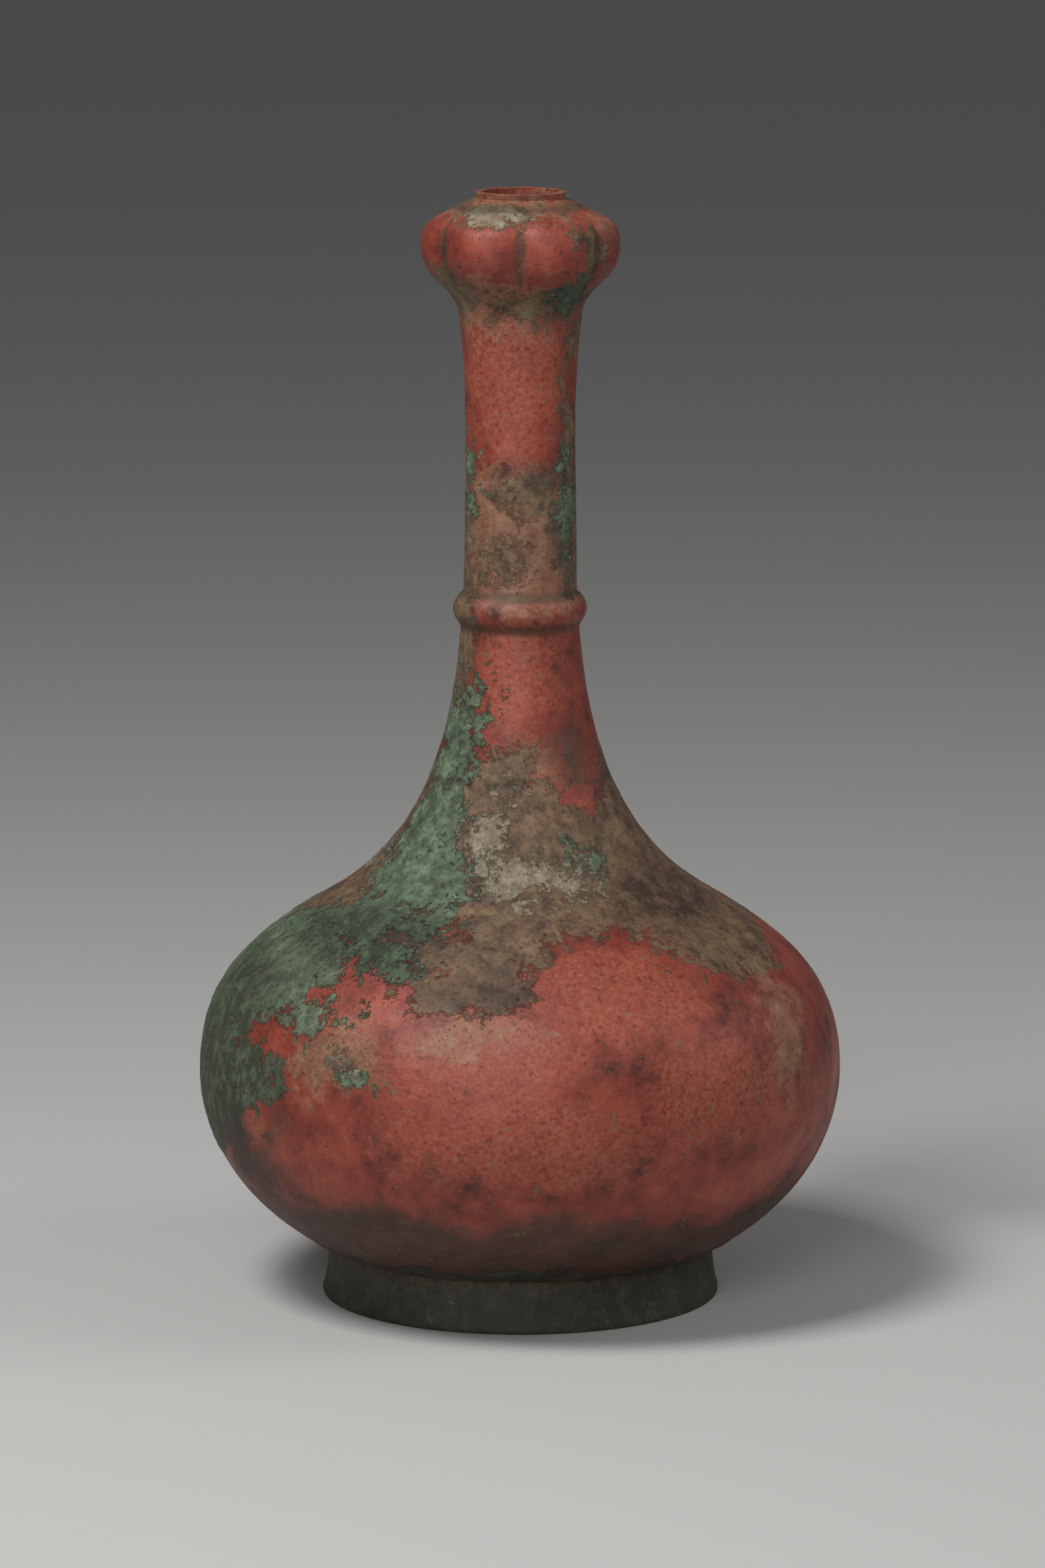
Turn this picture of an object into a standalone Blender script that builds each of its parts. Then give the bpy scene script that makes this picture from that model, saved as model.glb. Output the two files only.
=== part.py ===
"""Garlic-mouth bronze vessel: one hollow casting with a ring foot, a round belly and a tall ringed neck.

The neck ends in a head of six cloves round a small mouth. The vessel stands on its ring foot, with its
axis on Z and its origin at the middle of the circle that the foot stands on. All sizes are in metres.
"""

import math

import bmesh
import bpy

# Whole vessel
HEIGHT = 0.3700

# Ring foot, open below
FOOT_RADIUS = 0.0665
FOOT_WAIST_RADIUS = 0.0645
FOOT_HEIGHT = 0.0170
FOOT_RIM_WIDTH = 0.0050
EDGE = 0.0008
RECESS_DEPTH = 0.0095

# Belly and shoulder, each height measured from the station below it
BELLY_RADIUS = 0.1077
BELLY_HEIGHT = 0.0600
SHOULDER_TURN_RADIUS = 0.0655
SHOULDER_TURN_HEIGHT = 0.0580
NECK_ROOT_RADIUS = 0.0246
NECK_ROOT_HEIGHT = 0.0600

# Head of cloves and its lip, each height measured down from the station above it
LIP_RADIUS = 0.0153
LIP_HEIGHT = 0.0040
CAP_RADIUS = 0.0210
CAP_HEIGHT = 0.0140
CREST_RADIUS = 0.0335
CREST_HEIGHT = 0.0230
CLOVE_COUNT = 6
CLOVE_DEPTH = 0.0050
GROOVE_FULLNESS = 0.8

# Neck, which fills the height between the shoulder and the head, and the raised ring round it
NECK_RADIUS = 0.0188
NECK_TOP_RADIUS = 0.0209
NECK_WAIST_SHARE = 0.60
RING_PROUD = 0.0030
RING_WIDTH = 0.0110
RING_HEIGHT = 0.0370
RING_FULLNESS = 0.7

# Cast walls
FLOOR_WALL = 0.0026
BODY_WALL = 0.0024
NECK_WALL = 0.0030
LIP_WALL = 0.0030

# Directions in which the outline runs at its stations, up from level and outwards
LEVEL = 0.0
UPRIGHT = math.radians(90)
INWARDS = math.radians(180)
FOOT_TOP_ANGLE = math.radians(22)
SHOULDER_TURN_ANGLE = math.radians(149)
NECK_ROOT_ANGLE = math.radians(103)
NECK_TOP_ANGLE = math.radians(84)
CAP_ANGLE = math.radians(150)
FOOT_FLARE_ANGLE = math.radians(-72)
CEILING_ANGLE = math.radians(186)

# How far the outline holds its direction by a station, as a share of the way to the next one
FOOT_HOLD = 0.28
BELLY_HOLD = 0.42
NECK_HOLD = 0.33
CREST_HOLD = 0.50

# Fineness of the turned surface
TURN_STEPS = 60
RING_STEPS = 6
PLAIN_STEPS = 24
MERGE_DISTANCE = 0.00001
SHARP_ANGLE = math.radians(32)

# Finish
PATINA_RED = (0.245, 0.078, 0.055, 1.0)
PATINA_ROUGHNESS = 0.48
PATINA_METALLIC = 0.25

# Heights of the stations above the floor
Z_BELLY = FOOT_HEIGHT + BELLY_HEIGHT
Z_SHOULDER_TURN = Z_BELLY + SHOULDER_TURN_HEIGHT
Z_NECK_ROOT = Z_SHOULDER_TURN + NECK_ROOT_HEIGHT
Z_LIP_FOOT = HEIGHT - LIP_HEIGHT / 2
Z_CAP = HEIGHT - LIP_HEIGHT
Z_CREST = Z_CAP - CAP_HEIGHT
Z_NECK_TOP = Z_CREST - CREST_HEIGHT
Z_NECK_WAIST = Z_NECK_ROOT + NECK_WAIST_SHARE * (Z_NECK_TOP - Z_NECK_ROOT)
Z_RING = Z_NECK_ROOT + RING_HEIGHT


def station(radius, height, angle, hold):
    """A place on the outline, the direction in which the outline passes it and how far it holds that."""
    return (radius, height, angle, hold)


def inset(place, wall):
    """The same station on the inner face, a wall's thickness in from the outer one."""
    radius, height, angle, hold = place
    across = angle + UPRIGHT
    return station(radius + wall * math.cos(across), height + wall * math.sin(across), angle, hold)


def along(place, distance):
    """The point that lies a distance on from a station, in its own direction."""
    radius, height, angle, _ = place
    return (radius + distance * math.cos(angle), height + distance * math.sin(angle))


def sweep(start, end, steps):
    """Points of one smooth curve between two stations, without the first of them."""
    chord = math.dist(start[:2], end[:2])
    corners = (start[:2], along(start, start[3] * chord), along(end, -end[3] * chord), end[:2])
    points = []
    for step in range(1, steps + 1):
        t = step / steps
        weights = ((1 - t) ** 3, 3 * t * (1 - t) ** 2, 3 * t * t * (1 - t), t ** 3)
        points.append(tuple(sum(w * corner[axis] for w, corner in zip(weights, corners)) for axis in (0, 1)))
    return points


def height_at(points, radius):
    """Height at which a curve that runs outwards reaches a radius."""
    for (r0, z0), (r1, z1) in zip(points, points[1:]):
        if r0 <= radius <= r1:
            return z0 + (z1 - z0) * (radius - r0) / (r1 - r0)
    return points[-1][1]


def radius_at(points, height):
    """Radius that a curve that runs upwards has at a height."""
    for (r0, z0), (r1, z1) in zip(points, points[1:]):
        if z0 <= height <= z1:
            return r0 + (r1 - r0) * (height - z0) / (z1 - z0)
    return points[-1][0]


FOOT_TOP = station(FOOT_WAIST_RADIUS, FOOT_HEIGHT, FOOT_TOP_ANGLE, FOOT_HOLD)
BELLY = station(BELLY_RADIUS, Z_BELLY, UPRIGHT, BELLY_HOLD)
SHOULDER_TURN = station(SHOULDER_TURN_RADIUS, Z_SHOULDER_TURN, SHOULDER_TURN_ANGLE, BELLY_HOLD)
NECK_ROOT = station(NECK_ROOT_RADIUS, Z_NECK_ROOT, NECK_ROOT_ANGLE, NECK_HOLD)
NECK_WAIST = station(NECK_RADIUS, Z_NECK_WAIST, UPRIGHT, NECK_HOLD)
NECK_TOP = station(NECK_TOP_RADIUS, Z_NECK_TOP, NECK_TOP_ANGLE, BELLY_HOLD)
CREST = station(CREST_RADIUS, Z_CREST, UPRIGHT, CREST_HOLD)
GROOVE = station(CREST_RADIUS - CLOVE_DEPTH, Z_CREST, UPRIGHT, CREST_HOLD)
CAP = station(CAP_RADIUS, Z_CAP, CAP_ANGLE, CREST_HOLD)


def neck_with_ring():
    """Outer face of the neck from its root to its waist, with the rounded ring that stands proud of it."""
    plain = [NECK_ROOT[:2]] + sweep(NECK_ROOT, NECK_WAIST, PLAIN_STEPS)
    ring_bottom = Z_RING - RING_WIDTH / 2
    ring_top = Z_RING + RING_WIDTH / 2
    below = (Z_NECK_ROOT + ring_bottom) / 2
    points = [(radius_at(plain, below), below)]
    for step in range(RING_STEPS + 1):
        across = step / RING_STEPS
        height = ring_bottom + RING_WIDTH * across
        swell = RING_PROUD * math.sin(math.pi * across) ** RING_FULLNESS
        points.append((radius_at(plain, height) + swell, height))
    for share in (1 / 3, 2 / 3, 1):
        height = ring_top + (Z_NECK_WAIST - ring_top) * share
        points.append((radius_at(plain, height), height))
    return points


def outer_wall():
    """Outer face from the top of the foot to the top of the lip, over the crests of the cloves."""
    points = [FOOT_TOP[:2]]
    points += sweep(FOOT_TOP, BELLY, 8)
    points += sweep(BELLY, SHOULDER_TURN, 7)
    points += sweep(SHOULDER_TURN, NECK_ROOT, 6)
    points += neck_with_ring()
    points += sweep(NECK_WAIST, NECK_TOP, 3)
    points += sweep(NECK_TOP, CREST, 6)
    points += sweep(CREST, CAP, 5)
    points += [(LIP_RADIUS + EDGE, Z_LIP_FOOT), (LIP_RADIUS, HEIGHT - EDGE), (LIP_RADIUS - EDGE, HEIGHT)]
    return points


def floor_line():
    """Inner face of the floor, from the axis out to the belly's wall."""
    middle = station(0.0, RECESS_DEPTH + FLOOR_WALL, LEVEL, FOOT_HOLD)
    return [middle[:2]] + sweep(middle, inset(FOOT_TOP, BODY_WALL), 3)


def inner_wall():
    """Inner face from the middle of the floor to the mouth."""
    belly = inset(BELLY, BODY_WALL)
    shoulder_turn = inset(SHOULDER_TURN, BODY_WALL)
    neck_root = inset(NECK_ROOT, NECK_WALL)
    neck_waist = inset(NECK_WAIST, NECK_WALL)
    neck_top = inset(NECK_TOP, NECK_WALL)
    groove = inset(GROOVE, NECK_WALL)
    mouth_radius = LIP_RADIUS - LIP_WALL
    mouth = station(mouth_radius, Z_CAP, CAP_ANGLE, CREST_HOLD)
    points = floor_line()
    points += sweep(inset(FOOT_TOP, BODY_WALL), belly, 4)
    points += sweep(belly, shoulder_turn, 4)
    points += sweep(shoulder_turn, neck_root, 3)
    points += sweep(neck_root, neck_waist, 1)
    points += sweep(neck_waist, neck_top, 1)
    points += sweep(neck_top, groove, 3)
    points += sweep(groove, mouth, 3)
    points += [(mouth_radius, HEIGHT - EDGE), (mouth_radius + EDGE, HEIGHT)]
    return points


def foot_line():
    """Outer face of the foot, its flat rim and the hollow below the floor, from the top outside inwards."""
    inner_radius = FOOT_RADIUS - FOOT_RIM_WIDTH
    ceiling_radius = FOOT_WAIST_RADIUS - FOOT_RIM_WIDTH
    ceiling_height = height_at(floor_line(), ceiling_radius) - FLOOR_WALL
    waist = station(FOOT_WAIST_RADIUS, FOOT_HEIGHT, -UPRIGHT, FOOT_HOLD)
    flare = sweep(waist, station(FOOT_RADIUS, EDGE, FOOT_FLARE_ANGLE, FOOT_HOLD), 3)
    rim = [(FOOT_RADIUS - EDGE, 0.0), (inner_radius + EDGE, 0.0), (inner_radius, EDGE)]
    ceiling_edge = station(ceiling_radius, ceiling_height, CEILING_ANGLE, FOOT_HOLD)
    ceiling = sweep(ceiling_edge, station(0.0, RECESS_DEPTH, INWARDS, FOOT_HOLD), 2)
    return flare + rim + [ceiling_edge[:2]] + ceiling


def outline():
    """The whole outline, from the middle of the inner floor over the lip to the middle of the underside."""
    outer_down = list(reversed(outer_wall()))
    return inner_wall() + outer_down + foot_line()


def turn(name, points, collection):
    """Turns an outline round the vessel's axis into one closed mesh."""
    profile = bpy.data.meshes.new(name + "_profile")
    verts = [(radius, 0.0, height) for radius, height in points]
    edges = [(index, index + 1) for index in range(len(verts) - 1)]
    profile.from_pydata(verts, edges, [])
    blank = bpy.data.objects.new(name + "_profile", profile)
    collection.objects.link(blank)
    screw = blank.modifiers.new("turn", "SCREW")
    screw.axis = "Z"
    screw.angle = 2 * math.pi
    screw.steps = TURN_STEPS
    screw.render_steps = TURN_STEPS
    screw.use_merge_vertices = True
    screw.merge_threshold = MERGE_DISTANCE
    bpy.context.view_layer.update()
    mesh = bpy.data.meshes.new_from_object(blank.evaluated_get(bpy.context.evaluated_depsgraph_get()))
    mesh.name = name
    bpy.data.objects.remove(blank)
    bpy.data.meshes.remove(profile)
    vessel = bpy.data.objects.new(name, mesh)
    collection.objects.link(vessel)
    return vessel


def clove_circle():
    """Offset and radius of the circles whose outer arcs are the cloves, for the groove's depth."""
    gap = math.pi / CLOVE_COUNT
    groove = CREST_RADIUS - CLOVE_DEPTH
    centre = (CREST_RADIUS ** 2 - groove ** 2) / (2 * (CREST_RADIUS - groove * math.cos(gap)))
    return centre, CREST_RADIUS - centre


def clove_share(turned, strength):
    """Share of the turned radius that is left at an angle round the axis: all of it on a clove's crest."""
    gap = math.pi / CLOVE_COUNT
    offset = (turned + gap) % (2 * gap) - gap
    centre, bulge = clove_circle()
    reach = centre * math.cos(offset) + math.sqrt(bulge ** 2 - (centre * math.sin(offset)) ** 2)
    cut = 1 - reach / CREST_RADIUS
    return 1 - cut * strength


def clove_strength(height):
    """How deep the grooves are at a height: none at the neck and the lip, full at the crest."""
    if height <= Z_CREST:
        rise = (height - Z_NECK_TOP) / CREST_HEIGHT
    else:
        rise = (Z_LIP_FOOT - height) / (Z_LIP_FOOT - Z_CREST)
    rise = min(max(rise, 0.0), 1.0)
    return math.sin(rise * math.pi / 2) ** GROOVE_FULLNESS


def carve_cloves(vessel):
    """Draws the head's outer face in between the crests, so that it stands in cloves."""
    inner = [point for point in inner_wall() if point[1] >= Z_NECK_TOP - CREST_HEIGHT]
    shape = bmesh.new()
    shape.from_mesh(vessel.data)
    for vert in shape.verts:
        radius = math.hypot(vert.co.x, vert.co.y)
        strength = clove_strength(vert.co.z)
        if strength == 0.0 or radius < radius_at(inner, vert.co.z) + NECK_WALL / 2:
            continue
        share = clove_share(math.atan2(vert.co.y, vert.co.x), strength)
        vert.co.x *= share
        vert.co.y *= share
    shape.to_mesh(vessel.data)
    shape.free()


def bronze_patina():
    """Bronze under a red and green crust, half dull."""
    material = bpy.data.materials.new("bronze_patina")
    material.use_nodes = True
    shader = material.node_tree.nodes["Principled BSDF"]
    shader.inputs["Base Color"].default_value = PATINA_RED
    shader.inputs["Roughness"].default_value = PATINA_ROUGHNESS
    shader.inputs["Metallic"].default_value = PATINA_METALLIC
    material.diffuse_color = PATINA_RED
    return material


def main():
    """Clears the scene and builds the vessel."""
    for stale in list(bpy.data.objects):
        bpy.data.objects.remove(stale)
    collection = bpy.data.collections.new("garlic_mouth_vessel")
    bpy.context.scene.collection.children.link(collection)
    vessel = turn("vessel", outline(), collection)
    carve_cloves(vessel)
    vessel.data.materials.clear()
    vessel.data.materials.append(bronze_patina())
    vessel.data.shade_smooth()
    vessel.data.set_sharp_from_angle(angle=SHARP_ANGLE)


main()
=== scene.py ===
"""Dresses the garlic-mouth bronze vessel in its red, green and olive patina.

The vessel is one hollow casting, so one turned and carved piece stands for the whole of it. The piece
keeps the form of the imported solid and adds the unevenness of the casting, the mineral crusts that stand
proud of the skin and the pits between them. Everything is in metres, with the axis on Z and the side
that the photograph shows towards -Y.
"""

from __future__ import annotations

import logging
import math
from dataclasses import dataclass, field
from enum import Enum
from typing import Any, Mapping

import bpy
import numpy as np
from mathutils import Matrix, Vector, noise


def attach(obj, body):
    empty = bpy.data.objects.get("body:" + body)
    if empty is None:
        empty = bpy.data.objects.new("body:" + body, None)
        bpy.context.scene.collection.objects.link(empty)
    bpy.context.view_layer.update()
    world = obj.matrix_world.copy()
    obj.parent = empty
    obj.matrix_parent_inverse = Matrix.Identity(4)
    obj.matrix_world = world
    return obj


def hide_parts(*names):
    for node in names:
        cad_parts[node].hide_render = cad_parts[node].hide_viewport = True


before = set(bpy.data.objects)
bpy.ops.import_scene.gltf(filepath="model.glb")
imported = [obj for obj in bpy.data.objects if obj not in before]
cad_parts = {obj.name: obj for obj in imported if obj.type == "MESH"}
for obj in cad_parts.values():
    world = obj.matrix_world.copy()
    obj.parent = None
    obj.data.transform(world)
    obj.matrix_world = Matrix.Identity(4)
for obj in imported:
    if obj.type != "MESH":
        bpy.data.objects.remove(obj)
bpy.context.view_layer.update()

logging.basicConfig(level=logging.INFO, format="%(message)s")
LOG = logging.getLogger("vessel")

MM = 0.001
PLACES_AT_ONCE = 8000

# Sockets of the Mix node for colours, which has others of the same names for plain numbers
MIX_FACTOR, MIX_A, MIX_B, MIX_RESULT = 0, 6, 7, 2

Point = tuple[float, float]
Colour = tuple[float, float, float, float]


def linear(hex_colour: str) -> Colour:
    """Turns a colour as a screen shows it into the linear light that a shader takes.

    Args:
        hex_colour: The colour as six hexadecimal digits, red first.

    Returns:
        Red, green and blue in linear light, and full cover.
    """
    channels = []
    for start in (0, 2, 4):
        value = int(hex_colour[start:start + 2], 16) / 255
        channels.append(value / 12.92 if value <= 0.04045 else ((value + 0.055) / 1.055) ** 2.4)
    return (channels[0], channels[1], channels[2], 1.0)


def add_node(
    tree: bpy.types.NodeTree, kind: str, links: Mapping[Any, Any] | None = None, **settings: Any
) -> Any:
    """Adds one node to a material.

    Args:
        tree: The material's node tree.
        kind: The node's type name.
        links: What each input takes, by its name or number: another node's output, or a plain value.
        settings: The node's own options.

    Returns:
        The new node.
    """
    node = tree.nodes.new(kind)
    for name, value in settings.items():
        setattr(node, name, value)
    for socket, value in (links or {}).items():
        if isinstance(value, bpy.types.NodeSocket):
            tree.links.new(value, node.inputs[socket])
        else:
            node.inputs[socket].default_value = value
    return node


def per_metre(size_mm: float) -> float:
    """Scale of a pattern whose features are a size in millimetres, on coordinates in metres."""
    return 1.0 / (size_mm * MM)


def ease(value: np.ndarray) -> np.ndarray:
    """Runs smoothly from 0 to 1 as the value does, and stays level outside."""
    held = np.clip(value, 0.0, 1.0)
    return held * held * (3 - 2 * held)


def cloud(places: np.ndarray, size_mm: float, octaves: int, shift: float = 0.0) -> np.ndarray:
    """Smooth cloudy values at places on the vessel, the same on each run.

    Args:
        places: Coordinates in metres, one row a place.
        size_mm: Size of the largest clouds.
        octaves: How many finer sizes lie over them, each half the last.
        shift: Moves the pattern, so that two clouds of one size differ.

    Returns:
        One value a place, around 0 and mostly from -1 to 1.
    """
    scaled = places * per_metre(size_mm) + (shift + 0.37, shift + 0.61, shift + 0.23)
    return np.array([noise.fractal(Vector(row), 0.9, 2.1, octaves) for row in scaled.tolist()])


class Face(Enum):
    """Which face of the casting a place on the outline belongs to."""

    INNER = 0
    OUTER = 1
    UNDER = 2


class Mineral(Enum):
    """What lies over the bronze, and where shade and light are painted into its colour.

    Each value names the attribute that holds how far inside its patches a place is, in millimetres.
    """

    CUPRITE = "cuprite_mm"
    EARTH = "earth_mm"
    MALACHITE = "malachite_mm"
    # Cream lime, partly a painted highlight where the neck meets the shoulder and on the head's top left
    LIME_AND_HIGHLIGHT = "lime_and_highlight_mm"
    # Painted shade with some grime: dark below the belly, over the foot and on the right just below the neck
    PAINTED_SHADE_AND_GRIME = "painted_shade_and_grime_mm"
    # Fresher, lighter red, and a painted sheen on the lower belly's front and right
    BLUSH_AND_PAINTED_LIGHT = "blush_and_painted_light_mm"
    # Deeper green and olive, and painted shade over the foot
    PAINTED_SHADE_AND_DEEP_TONE = "painted_shade_and_deep_tone_mm"
    # Greyish film, and painted light: highlights, an upright reflection on the belly's right and a lift under the
    # head
    DUST_AND_SHEEN = "dust_and_sheen_mm"
    # Painted shade in the creases, and a thin dark line round the neck's root
    CREASE_SHADE_AND_DARK_LINE = "painted_crease_shade_and_dark_line_mm"


@dataclass(frozen=True)
class Station:
    """A place on the outline, the direction in which the outline passes it and how far it holds that."""

    radius: float
    height: float
    angle: float
    hold: float

    @property
    def point(self) -> Point:
        """Radius and height."""
        return (self.radius, self.height)

    def inset(self, wall: float) -> Station:
        """The same station on the inner face, a wall's thickness in."""
        across = self.angle + math.pi / 2
        radius = self.radius + wall * math.cos(across)
        return Station(radius, self.height + wall * math.sin(across), self.angle, self.hold)

    def along(self, distance: float) -> Point:
        """The point a distance on in the station's own direction."""
        return (self.radius + distance * math.cos(self.angle), self.height + distance * math.sin(self.angle))


def sweep(start: Station, end: Station, spacing: float) -> list[Point]:
    """Points of one smooth curve between two stations.

    Args:
        start: Where the curve begins. Its own point is left out.
        end: Where the curve ends. Its own point is the last one.
        spacing: About how far apart the points lie.

    Returns:
        Radius and height of each point.
    """
    chord = math.dist(start.point, end.point)
    corners = (start.point, start.along(start.hold * chord), end.along(-end.hold * chord), end.point)
    steps = max(1, round(chord / spacing))
    points = []
    for step in range(1, steps + 1):
        t = step / steps
        weights = ((1 - t) ** 3, 3 * t * (1 - t) ** 2, 3 * t * t * (1 - t), t ** 3)
        points.append(tuple(sum(w * corner[axis] for w, corner in zip(weights, corners)) for axis in (0, 1)))
    return points


def straight(start: Point, end: Point, spacing: float) -> list[Point]:
    """Points of a straight run, without the first of them."""
    steps = max(1, round(math.dist(start, end) / spacing))
    return [tuple(a + (b - a) * step / steps for a, b in zip(start, end)) for step in range(1, steps + 1)]


def rounded(before: Point, corner: Point, after: Point, size: float) -> list[Point]:
    """A corner worn round: three points that leave one straight run and join the next."""
    enter = tuple(c + (b - c) * size / math.dist(before, corner) for b, c in zip(before, corner))
    leave = tuple(c + (a - c) * size / math.dist(after, corner) for a, c in zip(after, corner))
    middle = tuple(0.25 * e + 0.5 * c + 0.25 * l for e, c, l in zip(enter, corner, leave))
    return [enter, middle, leave]


@dataclass
class CastForm:
    """The vessel's form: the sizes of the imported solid, turned finely and with worn edges."""

    height: float = 0.3700
    foot_radius: float = 0.0665
    foot_waist_radius: float = 0.0645
    foot_height: float = 0.0170
    foot_rim_width: float = 0.0050
    edge: float = 0.0008
    recess_depth: float = 0.0095
    belly_radius: float = 0.1077
    belly_height: float = 0.0600
    shoulder_turn_radius: float = 0.0655
    shoulder_turn_height: float = 0.0580
    neck_root_radius: float = 0.0246
    neck_root_height: float = 0.0600
    lip_radius: float = 0.0153
    lip_height: float = 0.0040
    cap_radius: float = 0.0210
    cap_height: float = 0.0140
    crest_radius: float = 0.0335
    crest_height: float = 0.0230
    clove_count: int = 6
    clove_depth: float = 0.0050
    groove_fullness: float = 0.8
    groove_softness: float = math.radians(2.2)
    neck_radius: float = 0.0188
    neck_top_radius: float = 0.0209
    neck_waist_share: float = 0.60
    ring_proud: float = 0.0030
    ring_width: float = 0.0110
    ring_height: float = 0.0370
    ring_fullness: float = 0.7
    floor_wall: float = 0.0026
    body_wall: float = 0.0024
    neck_wall: float = 0.0030
    lip_wall: float = 0.0030
    turn_steps: int = 288
    body_spacing: float = 0.0018
    neck_spacing: float = 0.0013
    head_spacing: float = 0.0011
    inner_spacing: float = 0.0120
    # Reaches of the painted shade in the grooves, beside the ring, round the lip and over the foot
    groove_shade_mm: float = 1.5
    groove_fade_mm: float = 4.5
    ring_shade_mm: float = 1.3
    lip_shade_mm: float = 1.2
    foot_shade_mm: float = 2.2
    faces: list[tuple[float, float, Face]] = field(default_factory=list)

    @property
    def z_belly(self) -> float:
        """Height of the belly's widest circle."""
        return self.foot_height + self.belly_height

    @property
    def z_shoulder_turn(self) -> float:
        """Height where the shoulder turns from bulging to hollow."""
        return self.z_belly + self.shoulder_turn_height

    @property
    def z_neck_root(self) -> float:
        """Height where the shoulder becomes the neck."""
        return self.z_shoulder_turn + self.neck_root_height

    @property
    def z_cap(self) -> float:
        """Height of the lip's foot on the head."""
        return self.height - self.lip_height

    @property
    def z_crest(self) -> float:
        """Height of the cloves' widest circle."""
        return self.z_cap - self.cap_height

    @property
    def z_neck_top(self) -> float:
        """Height where the neck meets the head."""
        return self.z_crest - self.crest_height

    @property
    def z_neck_waist(self) -> float:
        """Height of the neck's narrowest circle."""
        return self.z_neck_root + self.neck_waist_share * (self.z_neck_top - self.z_neck_root)

    @property
    def z_ring(self) -> float:
        """Height of the middle of the raised ring."""
        return self.z_neck_root + self.ring_height

    def stations(self) -> dict[str, Station]:
        """The outline's stations, from the top of the foot to the cap, and the depth of a groove."""
        upright = math.radians(90)
        return {
            "foot_top": Station(self.foot_waist_radius, self.foot_height, math.radians(22), 0.28),
            "belly": Station(self.belly_radius, self.z_belly, upright, 0.42),
            "shoulder_turn": Station(
                self.shoulder_turn_radius, self.z_shoulder_turn, math.radians(149), 0.42
            ),
            "neck_root": Station(self.neck_root_radius, self.z_neck_root, math.radians(103), 0.33),
            "neck_waist": Station(self.neck_radius, self.z_neck_waist, upright, 0.33),
            "neck_top": Station(self.neck_top_radius, self.z_neck_top, math.radians(84), 0.42),
            "crest": Station(self.crest_radius, self.z_crest, upright, 0.50),
            "groove": Station(self.crest_radius - self.clove_depth, self.z_crest, upright, 0.50),
            "cap": Station(self.cap_radius, self.z_cap, math.radians(150), 0.50),
        }

    def outer_line(self) -> list[Point]:
        """Outer face from the top of the foot to the cap, over the crests of the cloves."""
        at = self.stations()
        points = [at["foot_top"].point]
        points += sweep(at["foot_top"], at["belly"], self.body_spacing)
        points += sweep(at["belly"], at["shoulder_turn"], self.body_spacing)
        points += sweep(at["shoulder_turn"], at["neck_root"], self.body_spacing)
        neck = sweep(at["neck_root"], at["neck_waist"], self.neck_spacing)
        points += [self.with_ring(point) for point in neck]
        points += sweep(at["neck_waist"], at["neck_top"], self.body_spacing)
        points += sweep(at["neck_top"], at["crest"], self.head_spacing)
        points += sweep(at["crest"], at["cap"], self.head_spacing)
        return points

    def with_ring(self, point: Point) -> Point:
        """Moves a point of the neck out where the raised ring goes round it."""
        radius, height = point
        across = (height - self.z_ring) / self.ring_width + 0.5
        if not 0 < across < 1:
            return point
        return (radius + self.ring_proud * math.sin(math.pi * across) ** self.ring_fullness, height)

    def lip_line(self) -> list[Point]:
        """The lip, from the cap outside over its level top to the mouth inside."""
        mouth_radius = self.lip_radius - self.lip_wall
        foot = (self.lip_radius + self.edge, self.height - self.lip_height / 2)
        outer, inner = (self.lip_radius, self.height), (mouth_radius, self.height)
        points = [foot, (self.lip_radius, self.height - 2 * self.edge)]
        points += rounded(points[-1], outer, inner, self.edge)
        points += rounded(outer, inner, (mouth_radius, self.z_cap), self.edge)
        return points + [(mouth_radius, self.z_cap)]

    def floor_line(self) -> list[Point]:
        """Inner face of the floor, from the axis out to the belly's wall."""
        middle = Station(0.0, self.recess_depth + self.floor_wall, 0.0, 0.28)
        edge = self.stations()["foot_top"].inset(self.body_wall)
        return [middle.point] + sweep(middle, edge, self.inner_spacing)

    def inner_line(self) -> list[Point]:
        """Inner face from the middle of the floor to just under the mouth."""
        at = self.stations()
        places = [at["foot_top"].inset(self.body_wall), at["belly"].inset(self.body_wall)]
        places.append(at["shoulder_turn"].inset(self.body_wall))
        places += [at[name].inset(self.neck_wall) for name in ("neck_root", "neck_waist", "neck_top", "groove")]
        places.append(Station(self.lip_radius - self.lip_wall, self.z_cap, math.radians(150), 0.50))
        points = self.floor_line()
        for start, end in zip(places, places[1:]):
            points += sweep(start, end, self.inner_spacing)
        return points[:-1]

    def foot_line(self) -> list[Point]:
        """Foot and underside, from the top of the foot outside to the middle of the ceiling."""
        inner_radius = self.foot_radius - self.foot_rim_width
        ceiling_radius = self.foot_waist_radius - self.foot_rim_width
        floor = self.floor_line()
        over_edge = np.interp(ceiling_radius, [point[0] for point in floor], [point[1] for point in floor])
        ceiling_height = float(over_edge) - self.floor_wall
        waist = Station(self.foot_waist_radius, self.foot_height, math.radians(-90), 0.28)
        hem = Station(self.foot_radius, 2 * self.edge, math.radians(-72), 0.28)
        corner, inner_corner = (self.foot_radius, 0.0), (inner_radius, 0.0)
        ceiling_edge = Station(ceiling_radius, ceiling_height, math.radians(186), 0.28)
        points = sweep(waist, hem, self.body_spacing)
        points += rounded(hem.point, corner, inner_corner, self.edge)
        points += straight(points[-1], (inner_radius + self.edge, 0.0), self.foot_rim_width / 3)
        points += rounded(corner, inner_corner, ceiling_edge.point, self.edge)[1:]
        points += straight(points[-1], ceiling_edge.point, self.foot_rim_width)
        points += sweep(ceiling_edge, Station(0.0, self.recess_depth, math.pi, 0.28), self.inner_spacing)
        return points

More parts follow.
